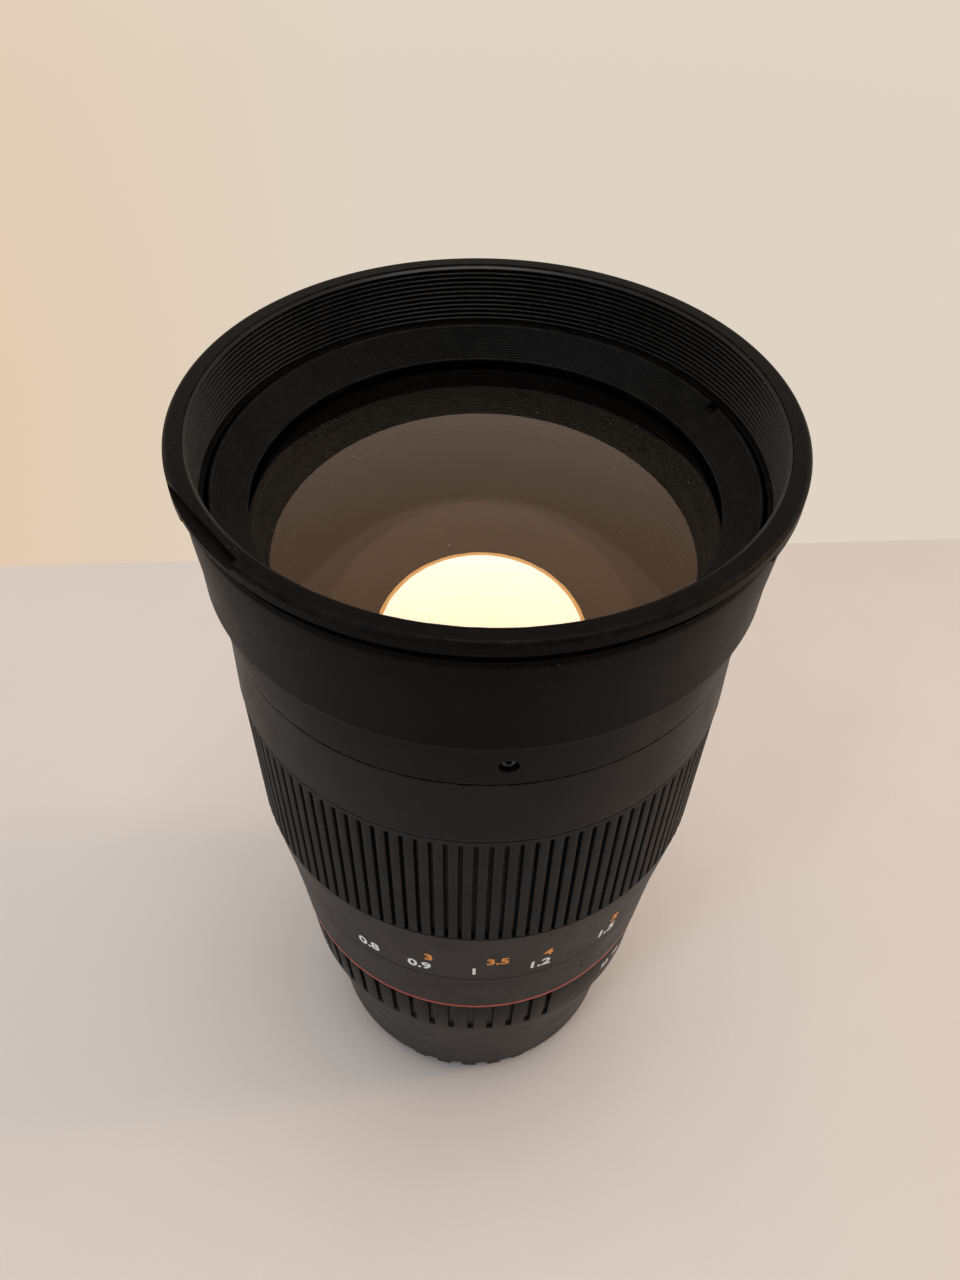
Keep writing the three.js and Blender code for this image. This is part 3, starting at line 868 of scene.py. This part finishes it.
def lettering(name, labels, height, surface, finish, node, size):
    n = numerals
    bm = bmesh.new()
    for label, azimuth in labels:
        flat = infinitySign(size) if label == "∞" else textMesh(label, size)
        middle = sum(v.co.x for v in flat.vertices) / len(flat.vertices)
        for v in flat.vertices:
            x, y, lift = (v.co.x - middle) * n["width"] / mm, v.co.y / mm, v.co.z / mm
            z = height + y
            radius = surface(z) + lift
            v.co = around(radius, azimuth + math.degrees(x / surface(height)), z)
        bm.from_mesh(flat)
    bmesh.ops.remove_doubles(bm, verts=bm.verts, dist=1e-7)
    return piece(name, meshFrom(name, bm), finish, node)


n = numerals
scales = (
    ("metreNumerals", "metres", "metreHeight", scaleRadius, "whiteMark", "focus_ring", 1.0),
    ("feetNumerals", "feet", "feetHeight", scaleRadius, "orangeMark", "focus_ring", 0.95),
    ("apertureNumerals", "apertures", "apertureHeight", apertureRadius, "whiteMark", "aperture_ring", 0.66),
)
for name, labels, height, surface, finish, node, share in scales:
    lettering(name, n[labels], n[height], surface, finish, node, n["size"] * share)
print("numerals")

bezel = dict(
    outer=36.9, top=143.8, low=139.9, lip=32.3, grooves=13, depth=0.13, notchAt=(116, 296), notchHalf=1.3,
)
turnedRings = dict(
    # the cells near the front use the inner black with painted shade
    frontCellShell=("front_cell", "cellBlackShaded", [
        (29.3, 98.5), (30.9, 98.5), (30.9, 132.1), (36.9, 132.1), (36.9, 139.6), (33.9, 139.6), (33.9, 134.0),
        (32.6, 134.0), (29.3, 129.1),
    ]),
    spacerSleeve=("cell_spacer", "cellBlackShaded", [(26.9, 100.3), (29.0, 100.3), (29.0, 118.3), (26.9, 118.3)]),
    cellRetainer=("cell_retaining_ring", "cellBlackShaded", [
        (21.0, 98.5), (29.0, 98.5), (29.0, 99.9), (21.0, 99.9),
    ]),
    irisCoverPlate=("iris_cover", "cellBlackShaded", [(19.6, 96.6), (28.8, 96.6), (28.8, 97.6), (19.6, 97.6)]),
    irisHousingCup=("iris_housing", "cellBlackShaded", [
        (19.6, 88.3), (28.8, 88.3), (28.8, 96.3), (28.2, 96.3), (28.2, 89.3), (19.6, 89.3),
    ]),
    rearCellTube=("rear_cell", "innerBlack", [
        (20.3, 8.1), (22.1, 8.1), (22.1, 10.0), (28.2, 10.0), (28.2, 12.0), (22.1, 12.0), (22.1, 37.5),
        (20.3, 37.5),
    ]),
    rearSpacerRing=("rear_spacer", "innerBlack", [(18.6, 23.6), (20.0, 23.6), (20.0, 26.9), (18.6, 26.9)]),
    rearRetainer=("rear_retaining_ring", "innerBlack", [
        (17.0, 11.7), (20.0, 11.7), (20.0, 13.6), (17.0, 13.6),
    ]),
    helicoidSleeve=("helicoid_ring", "brass", [(34.1, 75.5), (35.0, 75.5), (35.0, 117.5), (34.1, 117.5)]),
)
glassShapes = dict(
    frontGlassLens=("front_element", "frontGlass", dict(
        vertex=143.7, front=118, rear=400, thick=8, radius=33.6)),
    secondGlassLens=("second_element", "innerGlass", dict(
        vertex=129.7, front=60, rear=110, thick=7, radius=28.6)),
    thirdGlassLens=("third_element", "innerGlass", dict(
        vertex=115.5, front=45, rear=30, thick=7.5, radius=26.6, clear=20)),
    fourthGlassLens=("rear_element_1", "rearGlass", dict(
        vertex=34.5, front=40, rear=-90, thick=9.5, radius=20)),
    fifthGlassLens=("rear_element_2", "rearGlass", dict(
        vertex=19.5, front=-55, rear=80, thick=3, radius=20)),
)


def makeBezel():
    b = bezel
    outline = [(b["lip"], b["low"]), (b["outer"], b["low"]), (b["outer"], b["top"]), (36.6, b["top"])]
    start, end = Vector((36.35, b["top"] - 0.2)), Vector((b["lip"] + 0.15, b["low"] + 0.4))
    down = (end - start) / (2 * b["grooves"])
    across = Vector((-down.y, down.x)).normalized() * b["depth"]
    if across.x < 0:
        across = -across
    for k in range(2 * b["grooves"] + 1):
        point = start + down * k + (across if k % 2 else Vector((0, 0)))
        outline.append((point.x, point.y))
    outline.append((b["lip"], b["low"] + 0.3))
    ring = turned("bezelRing", outline, 0.07)
    notchOutline, half = [(35.7, 142.8), (37.6, 142.8), (37.6, 144.6), (35.7, 144.6)], b["notchHalf"]
    notches = [
        sector("notch", notchOutline, a - half, a + half, 0)
        for a in b["notchAt"]
    ]
    standIn("bezelRing", drilled(ring, *notches), "innerBlack", "front_bezel")


def sag(radius, curve):
    r = abs(curve)
    return math.copysign(r - math.sqrt(r * r - radius * radius), curve)


def makeGlassLens(name, node, finish, vertex, front, rear, thick, radius, clear=None):
    clear = clear or radius
    rings, back = 36, vertex - thick
    outline = [(radius * i / rings, vertex - sag(radius * i / rings, front)) for i in range(rings + 1)]
    if clear < radius:
        outline.append((radius, back - sag(clear, rear)))
    outline += [(clear * i / rings, back - sag(clear * i / rings, rear)) for i in range(rings, -1, -1)]
    mesh = turned(name, outline[::-1], 0, 180)
    made = standIn(name, mesh, finish, node)
    # the ground glass edge is blackened, in the cell black that carries painted shade
    mesh.materials.append(materials["cellBlackShaded"])
    mesh.materials.append(materials["backGlass"])
    for polygon in mesh.polygons:
        outside = clear < radius and polygon.center.to_2d().length > clear * mm * 1.002
        flatFloor = outside and polygon.normal.z < -0.99
        if abs(polygon.normal.z) < 0.1 or flatFloor:
            polygon.material_index = 1
            polygon.use_smooth = False
        elif polygon.normal.z < 0 and finish == "frontGlass":
            polygon.material_index = 2
    return made


makeBezel()
for name, (node, finish, outline) in turnedRings.items():
    standIn(name, turned(name, outline, 0.1, 180), finish, node)
for name, (node, finish, shape) in glassShapes.items():
    makeGlassLens(name, node, finish, **shape)
print("lens block")

carriedOver = dict(
    guide_tube="innerBlack", rear_baffle="innerBlack", click_ball="screwSteel", click_spring="screwSteel",
    infinity_stop_pin="screwSteel", near_stop_pin="screwSteel", aperture_lever="screwSteel",
    focus_stop_tab="screwSteel", drive_shoe_1="brass", drive_shoe_2="brass", drive_shoe_3="brass",
    iris_drive_ring="screwSteel", **{f"iris_blade_{i}": "bladeBlack" for i in range(1, 10)},
)
for name, finish in carriedOver.items():
    node = frame["nodes"][name]
    node.data.materials.clear()
    node.data.materials.append(materials[finish])
print("carried over:", len(carriedOver))

stageSizes = dict(front=-2.2, back=0.1403, slope=0.0905, side=2.2, floor=-0.00002)
worldTones = dict(
    wall=(0.74, 0.655, 0.545), upper=(0.92, 0.86, 0.77), room=(0.24, 0.235, 0.235), warm=(0.80, 0.50, 0.27),
)
# shines is what a lamp is seen by: the glass, or everything but the glass
lamps = dict(
    roundLamp=dict(at=(0.0, 0.243, 1.143), size=0.634, power=40, colour=(0.36, 0.63, 1.0), shines="glass"),
    lampShade=dict(at=(0.0, 0.247, 1.163), size=0.676, power=13, colour=(1.0, 0.87, 0.44), shines="glass"),
    ceilingLamp=dict(at=(0.08, -0.10, 1.15), size=0.55, power=4.0, colour=(1.0, 0.95, 0.90), shines="rest"),
    warmLamp=dict(at=(0.80, 0.06, 0.44), size=0.16, power=1.7, colour=(1.0, 0.68, 0.40), shines="rest"),
    coolLamp=dict(at=(-0.55, -0.60, 0.62), size=0.22, power=1.7, colour=(0.60, 0.80, 1.0), shines="rest"),
)
view = dict(lens=28.125, at=(0, -108.816, 227.355), pitch=47.39, roll=0.03048, yaw=-0.00171)


def makeStage():
    s = stageSizes
    bm = bmesh.new()
    corners = [
        (-s["side"], s["front"]), (s["side"], s["front"]), (s["side"], s["back"] + s["slope"] * s["side"]),
        (-s["side"], s["back"] - s["slope"] * s["side"]),
    ]
    bm.faces.new([bm.verts.new((x, y, s["floor"])) for x, y in corners])
    mesh = bpy.data.meshes.new("tableTop")
    bm.to_mesh(mesh)
    mesh.materials.append(materials["table"])
    table = bpy.data.objects.new("tableTop", mesh)
    bpy.context.scene.collection.objects.link(table)


def makeWorld():
    world = bpy.data.worlds.new("room")
    bpy.context.scene.world = world
    world.use_nodes = True
    graph = Graph(world.node_tree)
    w = worldTones
    direction = graph.node("ShaderNodeTexCoord", {}, {}, "Generated")
    parts = graph.node("ShaderNodeSeparateXYZ", {}, {"Vector": direction}).socket.node.outputs
    across, ahead, up = (Value(graph, parts[axis]) for axis in "XYZ")
    behind = stepped(graph, ahead, -0.65, 0.05)
    tone = tinted(graph, stepped(graph, up, -0.3, 0.75), w["wall"], w["upper"])
    side = stepped(graph, across * -1.0, 0.12, 0.60) * (1 - stepped(graph, up, -0.5, 0.25)) * 0.6
    tone = tinted(graph, side, tone, w["warm"])
    tone = tinted(graph, behind, w["room"], tone)
    background = world.node_tree.nodes["Background"]
    graph.feed(background.inputs["Color"], tone)
    background.inputs["Strength"].default_value = 1.0


def makeLamps():
    receivers = {kind: bpy.data.collections.new(kind) for kind in ("glass", "rest")}
    for item in bpy.context.scene.objects:
        if item.type == "MESH" and item.name not in glassShapes:
            receivers["rest"].objects.link(item)
    receivers["glass"].objects.link(bpy.data.objects["frontGlassLens"])
    for name, lamp in lamps.items():
        light = bpy.data.lights.new(name, "AREA")
        light.shape = "DISK"
        light.size = lamp["size"]
        light.energy = lamp["power"]
        light.color = lamp["colour"]
        made = bpy.data.objects.new(name, light)
        made.location = lamp["at"]
        made.rotation_mode = "QUATERNION"
        made.rotation_quaternion = (Vector((0, 0, 0.1)) - made.location).to_track_quat("-Z", "Y")
        bpy.context.scene.collection.objects.link(made)
        made.light_linking.receiver_collection = receivers[lamp["shines"]]
        made.visible_transmission = False
        made.visible_diffuse = lamp["shines"] == "rest"


def makeCamera():
    pitch, yaw, roll = math.radians(view["pitch"]), view["yaw"], view["roll"]
    forward = Vector((math.sin(yaw) * math.cos(pitch), math.cos(yaw) * math.cos(pitch), -math.sin(pitch)))
    right = Vector((math.cos(yaw), -math.sin(yaw), 0))
    up = right.cross(forward)
    turnedRight = right * math.cos(roll) + up * math.sin(roll)
    turnedUp = up * math.cos(roll) - right * math.sin(roll)
    data = bpy.data.cameras.new("camera")
    data.lens = view["lens"]
    data.sensor_width = 36
    data.clip_start = 0.01
    camera = bpy.data.objects.new("camera", data)
    bpy.context.scene.collection.objects.link(camera)
    turn = Matrix((turnedRight, turnedUp, -forward)).transposed().to_4x4()
    camera.matrix_world = Matrix.Translation(Vector(view["at"]) * mm) @ turn
    bpy.context.scene.camera = camera


makeStage()
makeWorld()
makeLamps()
makeCamera()
bpy.context.scene.view_settings.view_transform = "Standard"
print("stage ready")
